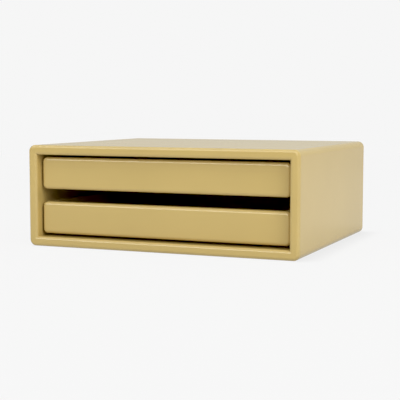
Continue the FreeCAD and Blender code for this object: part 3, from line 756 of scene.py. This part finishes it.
def world_light(studio):
    """A pale backdrop for the camera, and for the module a room that is dark low down before it."""
    world = bpy.data.worlds.new("studio_room")
    bpy.context.scene.world = world
    world.use_nodes = True
    world.node_tree.nodes.clear()
    nodes = Nodes(world.node_tree)
    way = nodes.add("ShaderNodeSeparateXYZ", {0: nodes.add("ShaderNodeTexCoord").outputs["Generated"]})
    front = nodes.add("ShaderNodeMapRange", {
        "Value": way.outputs["Z"], "From Min": ROOM_BEFORE_UP[0], "From Max": ROOM_BEFORE_UP[1],
        "To Max": studio.before},
        interpolation_type="SMOOTHSTEP")
    wall = nodes.add("ShaderNodeMapRange", {
        "Value": way.outputs["Y"], "From Min": ROOM_BEHIND_BACK[0], "From Max": ROOM_BEHIND_BACK[1],
        "To Min": front.outputs["Result"], "To Max": studio.behind}, interpolation_type="SMOOTHSTEP")
    ceiling = nodes.add("ShaderNodeMapRange", {
        "Value": way.outputs["Z"], "From Min": ROOM_ABOVE_UP[0], "From Max": ROOM_ABOVE_UP[1],
        "To Max": studio.above},
        interpolation_type="SMOOTHSTEP")
    level = nodes.add("ShaderNodeMath", {0: wall.outputs["Result"], 1: ceiling.outputs["Result"]},
                      operation="ADD")
    room = nodes.add("ShaderNodeBackground", {
        "Strength": level.outputs["Value"], "Color": (*studio.room_tint, 1.0)})
    seen = nodes.add("ShaderNodeBackground", {"Strength": studio.backdrop, "Color": (1.0, 1.0, 1.0, 1.0)})
    looking = nodes.add("ShaderNodeLightPath")
    mixed = nodes.add("ShaderNodeMixShader", {
        0: looking.outputs["Is Camera Ray"], 1: room.outputs["Background"], 2: seen.outputs["Background"]})
    nodes.add("ShaderNodeOutputWorld", {"Surface": mixed.outputs["Shader"]})


def only_for(light, name, receivers):
    """Lets a light reach the given objects alone."""
    lit = bpy.data.collections.new(name)
    for receiver in receivers:
        lit.objects.link(receiver)
    light.light_linking.receiver_collection = lit


def softbox(name, brightness, mirrored_by):
    """
    A rectangular lamp that faces the module, placed by its row in SOFTBOXES.

    It lights the colour of every surface, or, where pieces are given, it only shows in their gloss.
    """
    turn, rise, width, height = SOFTBOXES[name]
    lamp = bpy.data.lights.new(name, "AREA")
    lamp.shape = "RECTANGLE"
    lamp.size = width
    lamp.size_y = height
    lamp.energy = brightness * math.pi * width * height
    turn, rise = math.radians(turn), math.radians(rise)
    way = Vector((math.sin(turn) * math.cos(rise), -math.cos(turn) * math.cos(rise), math.sin(rise)))
    box = bpy.data.objects.new(name, lamp)
    box.location = way * SOFTBOX_DISTANCE
    box.rotation_euler = way.to_track_quat("Z", "Y").to_euler()
    bpy.context.scene.collection.objects.link(box)
    box.visible_glossy = bool(mirrored_by)
    box.visible_diffuse = not mirrored_by
    if mirrored_by:
        only_for(box, f"mirrors_{name}", mirrored_by)


def studio_floor(studio):
    """
    A round floor that fades into the backdrop: points r (cos a, sin a), with r from ring to ring.

    The module sees it darker close by, where it would stand in the way of the floor's light: from a share at
    its outline up to all of it one module height away, by the distance |max(|p| - half, 0)| from its outline.
    """
    rings = np.array(FLOOR_RINGS)
    angles = np.linspace(0.0, 2 * math.pi, FLOOR_SIDES, endpoint=False)
    grid = np.stack([rings[:, None] * np.cos(angles), rings[:, None] * np.sin(angles),
                     np.full((len(rings), len(angles)), FRAME_LOW.z - FLOOR_DROP)], axis=-1)
    mesh = bpy.data.meshes.new("studio_floor")
    mesh.from_pydata(grid.reshape(-1, 3).tolist(), [], band_faces(*grid.shape[:2]))
    material, nodes = empty_material("studio_floor")
    place = nodes.add("ShaderNodeTexCoord").outputs["Object"]
    away = nodes.add("ShaderNodeVectorMath", {0: place}, operation="LENGTH")
    fade = nodes.add("ShaderNodeMapRange", {
        "Value": away.outputs["Value"], "From Min": FLOOR_FADE[0], "From Max": FLOOR_FADE[1]},
        interpolation_type="SMOOTHSTEP")
    white = (1.0, 1.0, 1.0, 1.0)
    tone = studio.floor_tone
    matt = nodes.add("ShaderNodeBsdfDiffuse", {"Color": (tone, tone, tone, 1.0)})
    half = (FRAME_HIGH - FRAME_LOW) / 2
    unsigned = nodes.add("ShaderNodeVectorMath", {0: place}, operation="ABSOLUTE").outputs["Vector"]
    beyond = nodes.add("ShaderNodeVectorMath", {0: unsigned, 1: (half.x, half.y, 0.0)}, operation="SUBTRACT")
    outside = nodes.add("ShaderNodeVectorMath", {0: beyond.outputs["Vector"], 1: (0.0, 0.0, 0.0)},
                        operation="MAXIMUM")
    gap = nodes.add("ShaderNodeVectorMath", {0: outside.outputs["Vector"]}, operation="LENGTH")
    shade = nodes.add("ShaderNodeMapRange", {
        "Value": gap.outputs["Value"], "From Min": 0.0, "From Max": 2 * half.z,
        "To Min": studio.floor_light * studio.floor_shade, "To Max": studio.floor_light},
        interpolation_type="SMOOTHSTEP")
    looking = nodes.add("ShaderNodeLightPath").outputs["Is Camera Ray"]
    given = nodes.add("ShaderNodeMapRange", {
        "Value": looking, "To Min": shade.outputs["Result"], "To Max": studio.floor_glow})
    glow = nodes.add("ShaderNodeEmission", {"Color": white, "Strength": given.outputs["Result"]})
    near = nodes.add("ShaderNodeAddShader", {0: matt.outputs["BSDF"], 1: glow.outputs["Emission"]})
    distant = nodes.add("ShaderNodeMapRange", {
        "Value": looking, "To Min": studio.floor_light, "To Max": studio.backdrop})
    far = nodes.add("ShaderNodeEmission", {"Color": white, "Strength": distant.outputs["Result"]})
    mixed = nodes.add("ShaderNodeMixShader", {
        0: fade.outputs["Result"], 1: near.outputs["Shader"], 2: far.outputs["Emission"]})
    nodes.add("ShaderNodeOutputMaterial", {"Surface": mixed.outputs["Shader"]})
    mesh.materials.append(material)
    floor = bpy.data.objects.new("studio_floor", mesh)
    bpy.context.scene.collection.objects.link(floor)
    return floor


def shadow_light(studio, floor):
    """A lamp high at the front left for the floor alone, so the module's soft shadow falls to the right."""
    lamp = bpy.data.lights.new("shadow_light", "SUN")
    lamp.energy = studio.shadow_light
    lamp.angle = studio.shadow_spread
    light = bpy.data.objects.new("shadow_light", lamp)
    light.rotation_euler = SHADOW_LAMP_WAY.to_track_quat("Z", "Y").to_euler()
    bpy.context.scene.collection.objects.link(light)
    only_for(light, "floor_only", [floor])


class TRAYMODULE_OT_stage(bpy.types.Operator):
    """Make the floor, the room's light, the softboxes and the camera"""

    bl_idname = "tray_module.stage"
    bl_label = "Stage"

    def execute(self, context):
        scene = context.scene
        studio = scene.tray_module_studio
        look = scene.view_settings
        look.view_transform = "Standard"
        look.use_curve_mapping = True
        look.curve_mapping.black_level = (studio.black_point,) * 3
        look.curve_mapping.update()
        world_light(studio)
        shadow_light(studio, studio_floor(studio))
        pieces = {piece.name: piece for piece in scene.objects}
        for name in SOFTBOXES:
            softbox(name, getattr(studio, name), [pieces[mirror] for mirror in SHEEN_PIECES.get(name, ())])
        turn, dip, roll = studio.camera_turn, studio.camera_dip, studio.camera_roll
        ahead = Vector((-math.sin(turn) * math.cos(dip), math.cos(turn) * math.cos(dip), -math.sin(dip)))
        right = Vector((math.cos(turn), math.sin(turn), 0.0))
        up = right.cross(ahead)
        leaned = math.cos(roll) * right + math.sin(roll) * up
        columns = (leaned, leaned.cross(ahead), -ahead)
        data = bpy.data.cameras.new("studio_camera")
        data.lens = studio.camera_lens
        data.sensor_width = SENSOR_WIDTH
        camera = bpy.data.objects.new("studio_camera", data)
        camera.matrix_world = Matrix.Translation(studio.camera_place) @ Matrix(columns).transposed().to_4x4()
        scene.collection.objects.link(camera)
        scene.camera = camera
        return {"FINISHED"}


STEPS = (
    TRAYMODULE_OT_case_boards,
    TRAYMODULE_OT_tray_fronts,
    TRAYMODULE_OT_tray_sides,
    TRAYMODULE_OT_tray_backs,
    TRAYMODULE_OT_tray_bottoms,
    TRAYMODULE_OT_carried_parts,
    TRAYMODULE_OT_stage,
)
SETTINGS = {
    "tray_module_shape": TrayModuleShape,
    "tray_module_finish": TrayModuleFinish,
    "tray_module_studio": TrayModuleStudio,
}


class TRAYMODULE_PT_sidebar(bpy.types.Panel):
    """Sizes, finishes and the steps that build the module"""

    bl_idname = "TRAYMODULE_PT_sidebar"
    bl_label = "Letter Tray Module"
    bl_space_type = "VIEW_3D"
    bl_region_type = "UI"
    bl_category = "Letter Trays"

    def draw(self, context):
        for name, settings in SETTINGS.items():
            box = self.layout.box()
            for key in settings.__annotations__:
                box.prop(getattr(context.scene, name), key)
        for step in STEPS:
            self.layout.operator(step.bl_idname)


CLASSES = (*SETTINGS.values(), *STEPS, TRAYMODULE_PT_sidebar)


def register():
    for kind in CLASSES:
        bpy.utils.register_class(kind)
    for name, settings in SETTINGS.items():
        setattr(bpy.types.Scene, name, bpy.props.PointerProperty(type=settings))


def unregister():
    for name in SETTINGS:
        delattr(bpy.types.Scene, name)
    for kind in reversed(CLASSES):
        bpy.utils.unregister_class(kind)


def main():
    register()
    for step in STEPS:
        family, action = step.bl_idname.split(".")
        getattr(getattr(bpy.ops, family), action)()


if __name__ == "__main__":
    main()
